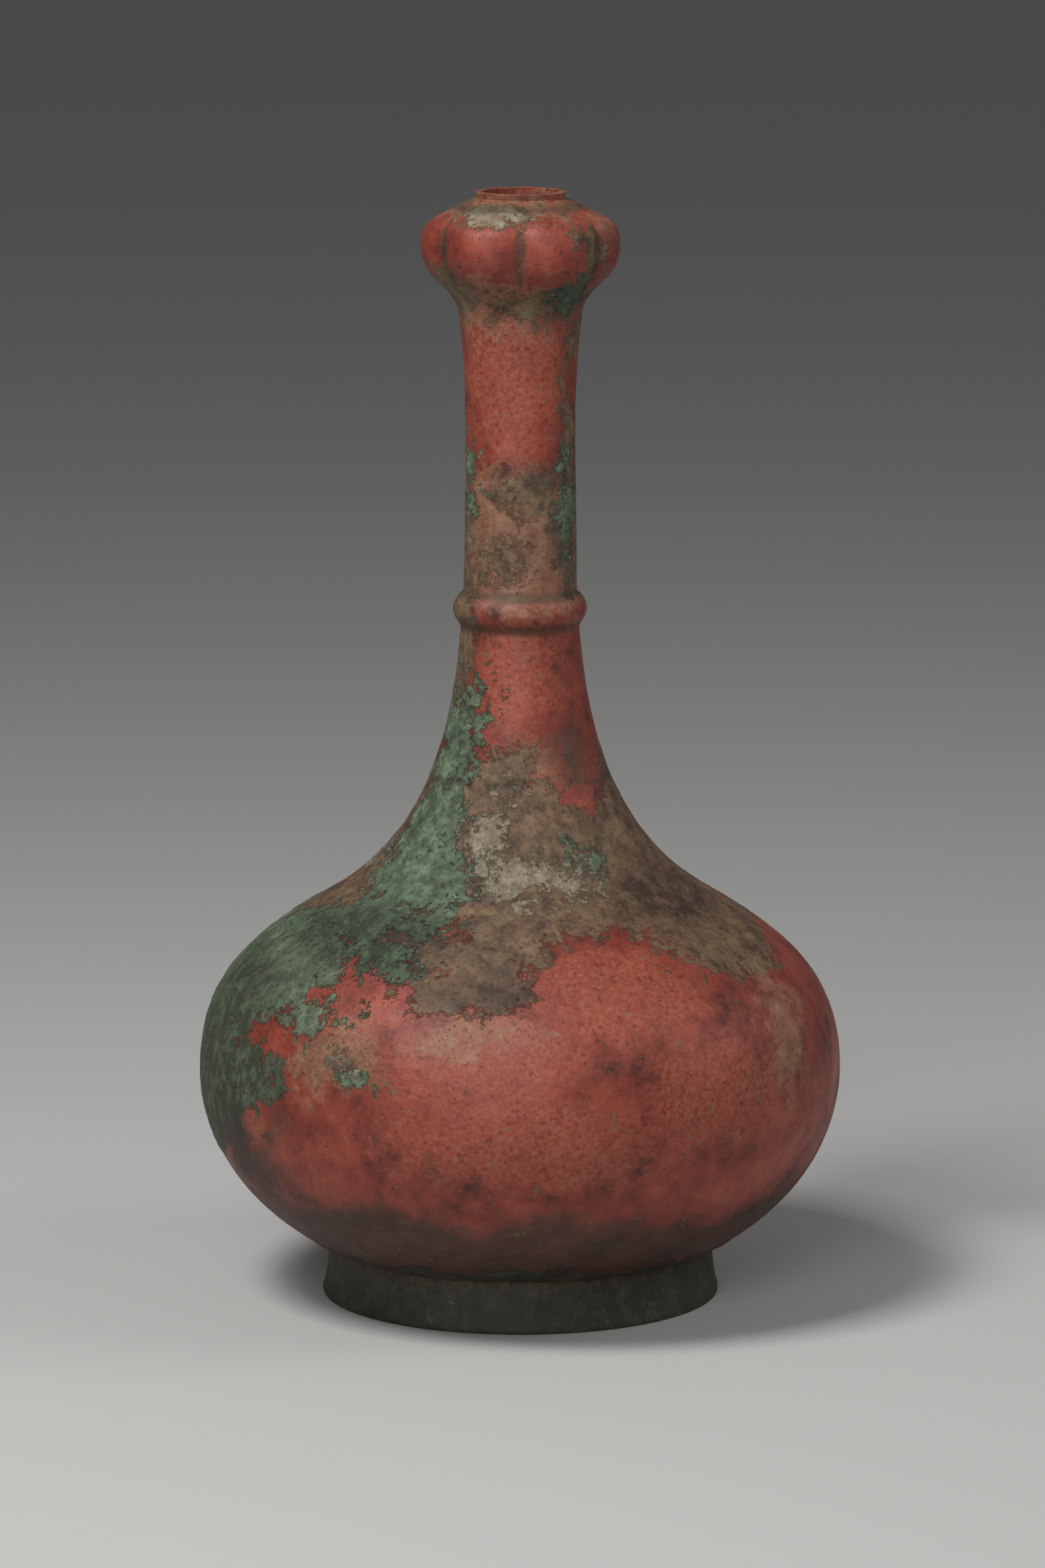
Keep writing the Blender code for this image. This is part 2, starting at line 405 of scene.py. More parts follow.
    def outline(self) -> list[Point]:
        """The whole outline, with the face that each point belongs to kept in faces."""
        inner = self.inner_line()
        lip = list(reversed(self.lip_line()))
        outer = list(reversed(self.outer_line()))
        under = self.foot_line()
        self.faces = [(*point, Face.INNER) for point in inner]
        self.faces += [(*point, Face.OUTER) for point in lip + outer]
        self.faces += [(*point, Face.UNDER) for point in under]
        return inner + lip + outer + under

    def turn(self, name: str) -> bpy.types.Object:
        """Draws the outline from one vertex and spins it round the axis into one closed mesh.

        Args:
            name: The new object's name.

        Returns:
            The turned vessel, without its cloves.
        """
        line = self.outline()
        bpy.ops.object.select_all(action="DESELECT")
        bpy.ops.mesh.primitive_plane_add(size=self.edge, location=(0.0, 0.0, 0.0))
        vessel = bpy.context.object
        vessel.name = name
        vessel.data.name = name
        bpy.ops.object.mode_set(mode="EDIT")
        bpy.ops.mesh.select_mode(type="VERT")
        bpy.ops.mesh.select_all(action="SELECT")
        bpy.ops.mesh.merge(type="CENTER")
        bpy.ops.transform.translate(value=(line[0][0], 0.0, line[0][1]))
        for (r0, z0), (r1, z1) in zip(line, line[1:]):
            bpy.ops.mesh.extrude_vertices_move(TRANSFORM_OT_translate={"value": (r1 - r0, 0.0, z1 - z0)})
        bpy.ops.mesh.select_all(action="SELECT")
        bpy.ops.mesh.spin(
            steps=self.turn_steps, angle=2 * math.pi, use_auto_merge=True, center=(0, 0, 0), axis=(0, 0, 1)
        )
        bpy.ops.mesh.select_all(action="SELECT")
        bpy.ops.mesh.remove_doubles(threshold=0.00001)
        bpy.ops.mesh.normals_make_consistent(inside=False)
        bpy.ops.object.mode_set(mode="OBJECT")
        return vessel

    def clove_strength(self, height: np.ndarray) -> np.ndarray:
        """How deep the grooves are: none at the neck and the lip, full at the crest.

        Args:
            height: Heights above the floor.

        Returns:
            One share of the full depth a height.
        """
        lip_foot = self.height - self.lip_height / 2
        rising = (height - self.z_neck_top) / self.crest_height
        falling = (lip_foot - height) / (lip_foot - self.z_crest)
        rise = np.clip(np.where(height <= self.z_crest, rising, falling), 0.0, 1.0)
        return np.sin(rise * math.pi / 2) ** self.groove_fullness

    def clove_share(self, turned: np.ndarray) -> np.ndarray:
        """Share of the crest's radius that the cloves leave at each angle, with softened creases.

        Args:
            turned: Angles round the axis, in radians from +X.

        Returns:
            One share an angle, 1 on a clove's crest.
        """
        gap = math.pi / self.clove_count
        groove = self.crest_radius - self.clove_depth
        centre = (self.crest_radius ** 2 - groove ** 2) / (2 * (self.crest_radius - groove * math.cos(gap)))
        bulge = self.crest_radius - centre
        from_groove = gap - np.abs((turned + gap) % (2 * gap) - gap)
        offset = gap - np.sqrt(from_groove ** 2 + self.groove_softness ** 2)
        reach = centre * np.cos(offset) + np.sqrt(bulge ** 2 - (centre * np.sin(offset)) ** 2)
        return reach / self.crest_radius

    def carve(self, places: np.ndarray, outer: np.ndarray) -> np.ndarray:
        """Draws the head's outer face in between the crests.

        Args:
            places: Coordinates of the turned mesh.
            outer: Which of them are on the outer face.

        Returns:
            The coordinates with the head in cloves.
        """
        carved = places.copy()
        turned = np.arctan2(places[:, 1], places[:, 0])
        share = 1 - (1 - self.clove_share(turned)) * self.clove_strength(places[:, 2]) * outer
        carved[:, :2] *= share[:, None]
        return carved

    def painted_crease_shade(self, places: np.ndarray) -> np.ndarray:
        """How far inside the painted shade of a crease each place is: between the cloves, beside the ring, round the
        lip and over the foot.

        Args:
            places: Coordinates of the mesh.

        Returns:
            One distance a place in millimetres, below 0 outside the shaded creases.
        """
        turned, height = np.arctan2(places[:, 1], places[:, 0]), places[:, 2]
        radius = np.hypot(places[:, 0], places[:, 1])
        gap = math.pi / self.clove_count
        from_groove = gap - np.abs((turned + gap) % (2 * gap) - gap)
        reach = self.groove_shade_mm + self.groove_fade_mm * (self.clove_strength(height) - 1)
        grooves = reach - from_groove * radius / MM
        beside_ring = self.ring_shade_mm - np.abs(np.abs(height - self.z_ring) - self.ring_width / 2) / MM
        round_lip = self.lip_shade_mm - np.abs(height - self.z_cap) / MM
        over_foot = self.foot_shade_mm - np.abs(height - self.foot_height) / MM
        return np.maximum.reduce([grooves, beside_ring, round_lip, over_foot])


@dataclass(frozen=True)
class Patch:
    """One patch of a mineral on the outer face.

    The turn is in degrees from the side that the photograph shows, positive to its right. The height is
    above the floor, and the reaches are half the patch's size, round the vessel and along its outline.
    """

    mineral: Mineral
    turn: float
    height_mm: float
    round_mm: float
    up_mm: float


ALL_ROUND = 400.0
ATTRIBUTE_REACH_MM = 30.0

PATCHES = (
    # Red skin left bare between the crusts
    Patch(Mineral.CUPRITE, -10, 353, 26, 10),
    Patch(Mineral.CUPRITE, 160, 353, 44, 10),
    Patch(Mineral.CUPRITE, -14, 304, 24, 24),
    Patch(Mineral.CUPRITE, 130, 306, 26, 16),
    Patch(Mineral.CUPRITE, 4, 211, 20, 18),
    Patch(Mineral.CUPRITE, 40, 190, 16, 22),
    Patch(Mineral.CUPRITE, 150, 214, 22, 12),
    Patch(Mineral.CUPRITE, -24, 136, 5, 4),
    Patch(Mineral.CUPRITE, 21, 124, 24, 18),
    Patch(Mineral.CUPRITE, 50, 104, 44, 22),
    Patch(Mineral.CUPRITE, 5, 84, 70, 30),
    Patch(Mineral.CUPRITE, -38, 92, 26, 25),
    Patch(Mineral.CUPRITE, 90, 82, 60, 34),
    Patch(Mineral.CUPRITE, 160, 84, 66, 26),
    Patch(Mineral.CUPRITE, 0, 50, ALL_ROUND, 18),
    # Olive-brown burial earth, grown into the bronze round the shoulder and the neck
    Patch(Mineral.EARTH, 0, 150, ALL_ROUND, 42),
    Patch(Mineral.EARTH, -12, 122, 24, 14),
    Patch(Mineral.EARTH, 64, 262, 12, 24),
    Patch(Mineral.EARTH, 10, 272, 12, 7),
    Patch(Mineral.EARTH, -18, 249, 9, 7),
    Patch(Mineral.EARTH, -92, 262, 14, 26),
    Patch(Mineral.EARTH, 165, 258, 22, 22),
    Patch(Mineral.EARTH, 30, 334, 22, 7),
    Patch(Mineral.EARTH, -70, 338, 12, 8),
    Patch(Mineral.EARTH, 150, 340, 30, 12),
    Patch(Mineral.EARTH, 52, 353, 10, 8),
    Patch(Mineral.EARTH, 66, 300, 7, 32),
    Patch(Mineral.EARTH, -66, 215, 10, 40),
    Patch(Mineral.EARTH, 62, 126, 34, 12),
    Patch(Mineral.EARTH, 178, 110, 60, 46),
    Patch(Mineral.EARTH, 0, 8, ALL_ROUND, 18),
    # Green malachite, thickest on the left shoulder
    Patch(Mineral.MALACHITE, -58, 188, 12, 22),
    Patch(Mineral.MALACHITE, -54, 163, 15, 18),
    Patch(Mineral.MALACHITE, -48, 146, 26, 14),
    Patch(Mineral.MALACHITE, -52, 134, 30, 12),
    Patch(Mineral.MALACHITE, -34, 127, 14, 7),
    Patch(Mineral.MALACHITE, -70, 118, 44, 24),
    Patch(Mineral.MALACHITE, -82, 88, 42, 38),
    Patch(Mineral.MALACHITE, -64, 82, 16, 18),
    Patch(Mineral.MALACHITE, -57, 84, 15, 13),
    Patch(Mineral.MALACHITE, -112, 118, 54, 24),
    Patch(Mineral.MALACHITE, -142, 114, 22, 16),
    Patch(Mineral.MALACHITE, -31, 92, 6, 4),
    Patch(Mineral.MALACHITE, -43, 109, 12, 7),
    Patch(Mineral.MALACHITE, 52, 268, 5, 12),
    Patch(Mineral.MALACHITE, -62, 276, 4, 9),
    Patch(Mineral.MALACHITE, 40, 338, 9, 8),
    Patch(Mineral.MALACHITE, 30, 153, 7, 4),
    Patch(Mineral.MALACHITE, 140, 162, 24, 16),
    Patch(Mineral.MALACHITE, 170, 256, 16, 20),
    Patch(Mineral.MALACHITE, 0, 2, ALL_ROUND, 26),
    # Cream tin oxide and lime, on the neck's root, the ring and the head; where the neck meets the shoulder and on
    # the head's top left the cream is partly a painted highlight
    Patch(Mineral.LIME_AND_HIGHLIGHT, -15, 161, 7, 10),
    Patch(Mineral.LIME_AND_HIGHLIGHT, 2, 148, 13, 8),
    Patch(Mineral.LIME_AND_HIGHLIGHT, 20, 147, 10, 5),
    Patch(Mineral.LIME_AND_HIGHLIGHT, -6, 174, 5, 3),
    Patch(Mineral.LIME_AND_HIGHLIGHT, -20, 364, 14, 6),
    Patch(Mineral.LIME_AND_HIGHLIGHT, -110, 150, 16, 8),
    Patch(Mineral.LIME_AND_HIGHLIGHT, -34, 97, 4, 3),
    # Thin greyish film over the red, and painted light: highlights on the head's top left and the front of the
    # belly, an upright reflection on the belly's right and a lift under the head
    Patch(Mineral.DUST_AND_SHEEN, -18, 366, 34, 9),
    Patch(Mineral.DUST_AND_SHEEN, 130, 362, 30, 10),
    Patch(Mineral.DUST_AND_SHEEN, -6, 334, 30, 9),
    Patch(Mineral.DUST_AND_SHEEN, 0, 256, ALL_ROUND, 24),
    Patch(Mineral.DUST_AND_SHEEN, -10, 107, 11, 5),
    Patch(Mineral.DUST_AND_SHEEN, 58, 104, 9, 18),
    Patch(Mineral.DUST_AND_SHEEN, -36, 98, 18, 14),
    Patch(Mineral.DUST_AND_SHEEN, -18, 130, 14, 10),
    Patch(Mineral.DUST_AND_SHEEN, 4, 180, 14, 8),
    Patch(Mineral.DUST_AND_SHEEN, 130, 90, 40, 26),
    # Grime and painted shade below the belly, over the foot and on the right just below the neck, and a thin dark
    # line round the neck's root
    Patch(Mineral.PAINTED_SHADE_AND_GRIME, 0, 22, ALL_ROUND, 34),
    Patch(Mineral.PAINTED_SHADE_AND_GRIME, -60, 58, 22, 12),
    Patch(Mineral.PAINTED_SHADE_AND_GRIME, 110, 58, 46, 16),
    Patch(Mineral.PAINTED_SHADE_AND_GRIME, -46, 72, 8, 5),
    Patch(Mineral.PAINTED_SHADE_AND_GRIME, 36, 184, 6, 9),
    Patch(Mineral.CREASE_SHADE_AND_DARK_LINE, 0, 177, ALL_ROUND, 0.9),
    # Where the red is fresher and lighter; on the lower belly's front and right the lightening is a painted sheen
    Patch(Mineral.BLUSH_AND_PAINTED_LIGHT, -12, 310, 20, 24),
    Patch(Mineral.BLUSH_AND_PAINTED_LIGHT, -6, 212, 16, 18),
    Patch(Mineral.BLUSH_AND_PAINTED_LIGHT, 22, 118, 28, 20),
    Patch(Mineral.BLUSH_AND_PAINTED_LIGHT, -6, 98, 26, 14),
    Patch(Mineral.BLUSH_AND_PAINTED_LIGHT, 40, 86, 32, 16),
    Patch(Mineral.BLUSH_AND_PAINTED_LIGHT, 0, 72, 44, 14),
    Patch(Mineral.BLUSH_AND_PAINTED_LIGHT, -38, 108, 14, 8),
    # Where the green and the olive are deeper, and painted shade over the foot
    Patch(Mineral.PAINTED_SHADE_AND_DEEP_TONE, -68, 84, 40, 28),
    Patch(Mineral.PAINTED_SHADE_AND_DEEP_TONE, -46, 130, 34, 14),
    Patch(Mineral.PAINTED_SHADE_AND_DEEP_TONE, -74, 112, 26, 12),
    Patch(Mineral.PAINTED_SHADE_AND_DEEP_TONE, 56, 140, 26, 14),
    Patch(Mineral.PAINTED_SHADE_AND_DEEP_TONE, -4, 120, 20, 8),
    Patch(Mineral.PAINTED_SHADE_AND_DEEP_TONE, 44, 338, 14, 10),
    Patch(Mineral.PAINTED_SHADE_AND_DEEP_TONE, -60, 78, 20, 18),
    Patch(Mineral.PAINTED_SHADE_AND_DEEP_TONE, 0, 8, ALL_ROUND, 22),
)


@dataclass
class PatinaMap:
    """Where each mineral lies on the outer face, and how the crusts and pits raise and sink it."""

    form: CastForm
    wander_mm: float = 7.0
    wander_sizes_mm: tuple[float, float] = (30.0, 9.0)
    fray_mm: float = 4.5
    fray_size_mm: float = 12.0
    line_fray: float = 0.25
    crease_shade_fray: float = 0.15
    outside_mm: float = -30.0
    swell_mm: float = 0.24
    wave_mm: float = 0.10
    lump_mm: float = 0.05
    edge_mm: float = 2.5
    pit_apart_mm: float = 13.0
    pit_share: float = 0.17
    pit_deep_mm: float = 0.55
    crust_mm: dict[Mineral, float] = field(
        default_factory=lambda: {Mineral.EARTH: 0.22, Mineral.MALACHITE: 0.42, Mineral.LIME_AND_HIGHLIGHT: 0.30}
    )
    margin_mm: float = 0.55

    def reach_up(self, height: np.ndarray) -> np.ndarray:
        """Distance along the outer outline, in millimetres, at which it reaches each height."""
        ends = (self.form.foot_radius, 0.0), (self.form.lip_radius, self.form.height)
        line = np.array([ends[0], *self.form.outer_line(), ends[1]])
        run = np.concatenate([[0.0], np.cumsum(np.hypot(*np.diff(line, axis=0).T))])
        return np.interp(height, line[:, 1], run) / MM

    def fields(self, places: np.ndarray) -> dict[Mineral, np.ndarray]:
        """How far inside each mineral's patches each place is, in millimetres, below 0 outside them.

        Args:
            places: Coordinates of the outer face.

        Returns:
            One value a place for each mineral.
        """
        turned = np.degrees(np.arctan2(places[:, 0], -places[:, 1]))
        radius_mm = np.hypot(places[:, 0], places[:, 1]) / MM
        up = self.reach_up(places[:, 2])
        broad, small = self.wander_sizes_mm
        sideways = self.wander_mm * (cloud(places, broad, 2) + 0.5 * cloud(places, small, 3, 7.0))
        upwards = self.wander_mm * (cloud(places, broad, 2, 3.0) + 0.5 * cloud(places, small, 3, 11.0))
        fray = self.fray_mm * cloud(places, self.fray_size_mm, 4, 5.0)
        spread = np.clip(radius_mm / 60, 0.35, 1.0)
        found = {mineral: np.full(len(places), self.outside_mm) for mineral in Mineral}
        for patch in PATCHES:
            around = np.radians((turned - patch.turn + 180) % 360 - 180) * radius_mm + sideways * spread
            along = up - self.reach_up(np.array([patch.height_mm * MM])) + upwards * spread
            if patch.round_mm >= ALL_ROUND:
                inside = patch.up_mm - np.abs(along)
            else:
                share = 1 - np.hypot(around / patch.round_mm, along / patch.up_mm)
                inside = share * min(patch.round_mm, patch.up_mm)
            found[patch.mineral] = np.maximum(found[patch.mineral], inside)
        bare = found[Mineral.CUPRITE]
        found[Mineral.EARTH] = np.minimum(found[Mineral.EARTH], -bare)
        frayed = {mineral: values + fray * spread for mineral, values in found.items()}
        # The thin dark line round the neck's root, and painted shade in the creases
        line = found[Mineral.CREASE_SHADE_AND_DARK_LINE] + self.line_fray * fray
        frayed[Mineral.CREASE_SHADE_AND_DARK_LINE] = np.maximum(line, self.form.painted_crease_shade(places) + self.crease_shade_fray * fray)
        return frayed

    def relief(self, places: np.ndarray, fields: Mapping[Mineral, np.ndarray]) -> np.ndarray:
        """How far the outer face stands proud of the form at each place, in millimetres, 0 at most.

        Args:
            places: Coordinates of the outer face.
            fields: Where the minerals lie.

        Returns:
            One distance a place.
        """
        lumps = cloud(places, 5, 3, 2.0)
        proud = self.swell_mm * cloud(places, 60, 2, 9.0) + self.wave_mm * cloud(places, 17, 2, 4.0)
        proud += self.lump_mm * lumps
        for mineral, thickness in self.crust_mm.items():
            proud += thickness * ease(fields[mineral] / self.edge_mm) * (0.7 + 0.5 * lumps)
        proud -= self.pits(places)
        return np.minimum(proud - self.margin_mm, 0.0)

    def pits(self, places: np.ndarray) -> np.ndarray:
        """Depth of the corrosion pits: round, a few millimetres across and sparse.

        Args:
            places: Coordinates of the outer face.

        Returns:
            One depth a place, in millimetres.
        """
        deep = []
        for row in (places * per_metre(self.pit_apart_mm)).tolist():
            distances, seeds = noise.voronoi(Vector(row))
            sparse = noise.cell(seeds[0] * 3.7) > 0.25
            deep.append(max(0.0, 1 - distances[0] / self.pit_share) if sparse else 0.0)
        return self.pit_deep_mm * np.array(deep) ** 0.7

    def hold_ends(self, places: np.ndarray) -> np.ndarray:
        """Fades relief out towards the foot's rim and the lip's top, so the vessel keeps its height."""
        height = places[:, 2] / MM
        return ease((height - 0.2) / 3.0) * ease((self.form.height / MM - 0.1 - height) / 1.5)


class GarlicMouthVessel:
    """The whole casting: its mesh, its relief and its finishes."""

    def __init__(self, form: CastForm) -> None:
        """Keeps the form and prepares the map of the patina.

        Args:
            form: The vessel's sizes.
        """
        self.form = form
        self.patina = PatinaMap(form)
        self.piece: bpy.types.Object | None = None

    def build(self) -> bpy.types.Object:
        """Turns, carves and ages the vessel, and writes where its minerals lie."""
        piece = self.form.turn("bronze_vessel")
        mesh = piece.data
        places = np.zeros(len(mesh.vertices) * 3)
        mesh.vertices.foreach_get("co", places)
        places = places.reshape(-1, 3)
        face = self.faces_of(places)
        outer = face == Face.OUTER.value
        places = self.form.carve(places, outer)
        mesh.vertices.foreach_set("co", places.ravel())
        mesh.update()
        normals = np.zeros(len(mesh.vertices) * 3)
        mesh.vertices.foreach_get("normal", normals)
        normals = normals.reshape(-1, 3)
        skin = face != Face.INNER.value
        fields = self.patina.fields(places)
        rise = self.patina.relief(places, fields) * self.patina.hold_ends(places) * skin
        places = places + normals * (rise * MM)[:, None]
        mesh.vertices.foreach_set("co", places.ravel())
        for mineral, values in fields.items():
            layer = mesh.attributes.new(mineral.value, "FLOAT", "POINT")
            layer.data.foreach_set("value", np.clip(values, -ATTRIBUTE_REACH_MM, ATTRIBUTE_REACH_MM))
        mesh.update()
        self.piece = piece
        self.mark_inside(face)
        return piece

    def faces_of(self, places: np.ndarray) -> np.ndarray:
        """The face of the casting that each vertex is on, from the nearest point of the outline."""
        radius = np.hypot(places[:, 0], places[:, 1])
        line = np.array([(r, z) for r, z, _ in self.form.faces])
        kinds = np.array([kind.value for _, _, kind in self.form.faces])
        found = []
        for start in range(0, len(places), PLACES_AT_ONCE):
            stop = start + PLACES_AT_ONCE
            sideways = radius[start:stop, None] - line[:, 0]
            gap = np.hypot(sideways, places[start:stop, 2][:, None] - line[:, 1])
            found.append(kinds[np.argmin(gap, axis=1)])
        return np.concatenate(found)

    def mark_inside(self, face: np.ndarray) -> None:
        """Gives the faces of the inner wall the second finish, and shades the whole smooth."""
        mesh = self.piece.data
        inner = face == Face.INNER.value
        slots = [1 if all(inner[index] for index in polygon.vertices) else 0 for polygon in mesh.polygons]
        mesh.polygons.foreach_set("material_index", slots)
        bpy.ops.object.select_all(action="DESELECT")
        self.piece.select_set(True)
        bpy.context.view_layer.objects.active = self.piece
        bpy.ops.object.shade_smooth_by_angle(angle=math.radians(50))

    def dress(self) -> None:
        """Puts the finishes on the vessel and declares what it stands for."""
        self.piece.data.materials.clear()
        self.piece.data.materials.append(PatinatedBronze().material())
        self.piece.data.materials.append(DarkInterior().material())
        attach(self.piece, "root")
        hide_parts("vessel")


@dataclass(frozen=True)
class Crust:
    """The look of one mineral, or of painted shade or light: three tones, the size of its mottling, how it ends and
    how dull it is.

    The ragged edge wanders by ragged_mm, and the mineral thins out over soft_mm. Thick is how far its
    fine edge stands proud, and cover is the most that it hides.
    """

    mineral: Mineral
    dark: str
    middle: str
    light: str
    mottle_mm: float
    ragged_mm: float
    soft_mm: float
    thick_mm: float
    roughness: float
    cover: float


@dataclass(frozen=True)
class PatinatedBronze:
    """Cast tin bronze that lay buried: a smooth red cuprite skin under crusts of earth, malachite and lime.

    The cuprite keeps a little of the metal's gloss, and the crusts over it are matt and grainy.
    """

    name: str = "buried_cast_bronze"
    metallic: float = 0.10
    deep_red: str = "43190F"
    brick: str = "6F2B1E"
    red: str = "883829"
    orange: str = "9A4A32"
    rose: str = "A06452"
    grime: str = "2B1C14"
    grain_green: str = "5C6848"
    crusts: tuple[Crust, ...] = (
        # Greyish film, and painted highlights and a painted reflection
        Crust(Mineral.DUST_AND_SHEEN, "6A4E3A", "866A50", "9C866C", 6.0, 7.0, 6.0, 0.0, 0.60, 0.58),
        Crust(Mineral.EARTH, "30261A", "5F4A36", "7E6A4C", 6.0, 7.0, 1.6, 0.24, 0.66, 0.94),
        Crust(Mineral.MALACHITE, "2A3626", "4B5A44", "71846A", 5.0, 8.0, 1.2, 0.46, 0.76, 0.96),
        # Cream lime, partly a painted highlight
        Crust(Mineral.LIME_AND_HIGHLIGHT, "584E3C", "7A705C", "A09680", 4.0, 6.5, 1.8, 0.32, 0.80, 0.86),
        # Painted shade with some grime, dark below the belly, over the foot and just below the neck on the right
        Crust(Mineral.PAINTED_SHADE_AND_GRIME, "1A1610", "2A241A", "40362A", 8.0, 5.0, 7.0, 0.0, 0.60, 0.80),
        # Painted shade in the creases, and the thin dark line round the neck's root
        Crust(Mineral.CREASE_SHADE_AND_DARK_LINE, "1F1811", "3A2F20", "54492F", 3.0, 1.0, 0.9, 0.0, 0.72, 0.70),
    )

    def material(self) -> bpy.types.Material:
        """The finish, as a new material."""
        material = bpy.data.materials.new(self.name)
        material.use_nodes = True
        tree = material.node_tree
        shader = tree.nodes["Principled BSDF"]
        shader.inputs["Metallic"].default_value = self.metallic
        where = self.askew(tree)
        blotch = self.clouds(tree, where, 6.5, 9.0, 0.70)
        grit = self.clouds(tree, where, 1.6, 5.0, 0.62)
        fray = self.blend(tree, (blotch, 0.72), (grit, 0.28))
        colour, roughness = self.red_skin(tree, where, blotch, grit)
        height = self.blend(tree, (blotch, 0.34), (grit, 0.22))
        for crust in self.crusts:
            mask = self.mask(tree, crust, fray)
            colour = self.lay(tree, mask, colour, self.tones(tree, where, crust, grit))
            roughness = add_node(
                tree, "ShaderNodeMix", {0: mask, 2: roughness, 3: crust.roughness}, data_type="FLOAT"
            ).outputs[0]
            if crust.thick_mm:
                height = self.blend(tree, (height, 1.0), (mask, crust.thick_mm))
        colour = self.speckle(tree, where, colour, grit)
        fine = self.clouds(tree, where, 0.6, 2.0, 0.5)
        height = self.blend(tree, (height, 1.0), (fine, 0.09))
        dull = add_node(tree, "ShaderNodeMath", {0: grit, 1: -0.5}, operation="ADD").outputs[0]
        roughness = add_node(
            tree, "ShaderNodeMath", {0: dull, 1: 0.35, 2: roughness}, operation="MULTIPLY_ADD"
        ).outputs[0]
        bump = add_node(tree, "ShaderNodeBump", {"Height": height, "Strength": 1.0, "Distance": MM})
        tree.links.new(colour, shader.inputs["Base Color"])
        tree.links.new(roughness, shader.inputs["Roughness"])
        tree.links.new(bump.outputs[0], shader.inputs["Normal"])
        return material

    def askew(self, tree: Any) -> Any:
        """Object coordinates set askew, so that no noise shows its grid along the vessel's middle planes."""
        where = add_node(tree, "ShaderNodeTexCoord").outputs["Object"]
        links = {"Vector": where, "Location": (0.91, 0.73, 0.57), "Rotation": (0.5, 0.8, 0.3)}
        return add_node(tree, "ShaderNodeMapping", links).outputs[0]

    def clouds(self, tree: Any, where: Any, size_mm: float, detail: float, harshness: float) -> Any:
        """Noise around 0.5 whose largest features have a size in millimetres."""
        links = {
            "Vector": where, "Scale": per_metre(size_mm), "Detail": detail, "Roughness": harshness, "Lacunarity": 2.1
        }
        return add_node(tree, "ShaderNodeTexNoise", links).outputs["Fac"]

    def blend(self, tree: Any, first: tuple[Any, float], second: tuple[Any, float]) -> Any:
        """The sum of two values, each times its share."""
        scaled = add_node(tree, "ShaderNodeMath", {0: first[0], 1: first[1]}, operation="MULTIPLY").outputs[0]
        return add_node(
            tree, "ShaderNodeMath", {0: second[0], 1: second[1], 2: scaled}, operation="MULTIPLY_ADD"
        ).outputs[0]

    def inside(self, tree: Any, mineral: Mineral) -> Any:
        """How far inside a mineral's patches the surface is, in millimetres."""
        return add_node(tree, "ShaderNodeAttribute", attribute_name=mineral.value).outputs["Fac"]

    def step(self, tree: Any, value: Any, low: float, high: float, top: float = 1.0) -> Any:
        """A smooth step of a value, from 0 at one level to the top at the other."""
        links = {0: value, 1: low, 2: high, 3: 0.0, 4: top}
        return add_node(tree, "ShaderNodeMapRange", links, interpolation_type="SMOOTHSTEP").outputs[0]

    def edge(
        self, tree: Any, distance: Any, fray: Any, ragged_mm: float, soft_mm: float, top: float = 1.0
    ) -> Any:
        """Turns a distance into a mask with a ragged edge.

        Args:
            tree: The node tree.
            distance: The distance inside the patches.
            fray: The noise that frays the edge.
            ragged_mm: How far the noise moves the edge.
            soft_mm: How wide the edge is.
            top: The mask's value well inside.

        Returns:
            The mask.
        """
        moved = add_node(
            tree, "ShaderNodeMapRange",
            {0: fray, 1: 0.36, 2: 0.64, 3: -ragged_mm, 4: ragged_mm}, clamp=False,
        ).outputs[0]
        total = add_node(tree, "ShaderNodeMath", {0: distance, 1: moved}, operation="ADD").outputs[0]
        return self.step(tree, total, -soft_mm, soft_mm, top)

    def mask(self, tree: Any, crust: Crust, fray: Any) -> Any:
        """Where a crust covers what is below it."""
        depth = self.inside(tree, crust.mineral)
        return self.edge(tree, depth, fray, crust.ragged_mm, crust.soft_mm, crust.cover)

    def lay(self, tree: Any, mask: Any, below: Any, above: Any) -> Any:
        """One colour over another where a mask says."""
        links = {MIX_FACTOR: mask, MIX_A: below, MIX_B: above}
        return add_node(tree, "ShaderNodeMix", links, data_type="RGBA").outputs[MIX_RESULT]

    def ramp(self, tree: Any, value: Any, stops: tuple[tuple[float, str], ...]) -> Any:
        """A colour for each value, running smoothly between stops.

        Args:
            tree: The node tree.
            value: What the colour follows.
            stops: Each stop's value and hexadecimal tone, from the lowest.

        Returns:
            The colour.
        """
        node = add_node(tree, "ShaderNodeValToRGB", {"Fac": value})
        elements = node.color_ramp.elements
        while len(elements) < len(stops):
            elements.new(0.5)
        for element, (place, tone) in zip(elements, stops):
            element.position = place
            element.color = linear(tone)
        return node.outputs["Color"]

    def tones(self, tree: Any, where: Any, crust: Crust, grit: Any) -> Any:
        """A crust's mottled colour, deeper where its tone deepens and where shade is painted over the foot.

        Args:
            tree: The node tree.
            where: The coordinates.
            crust: The mineral.
            grit: The fine noise that grains it.

        Returns:
            The colour.
        """
        mottle = self.clouds(tree, where, crust.mottle_mm, 8.0, 0.66)
        mixed = self.blend(tree, (mottle, 0.72), (grit, 0.28))
        stops = ((0.36, crust.dark), (0.49, crust.middle), (0.64, crust.light))
        if crust.mineral not in (Mineral.EARTH, Mineral.MALACHITE, Mineral.LIME_AND_HIGHLIGHT):
            return self.ramp(tree, mixed, stops)
        # Deeper tone, and painted shade over the foot
        deepening = self.edge(tree, self.inside(tree, Mineral.PAINTED_SHADE_AND_DEEP_TONE), mottle, 4.0, 8.0)
        sunk = self.blend(tree, (mixed, 1.0), (deepening, -0.11))
        return self.ramp(tree, sunk, stops)

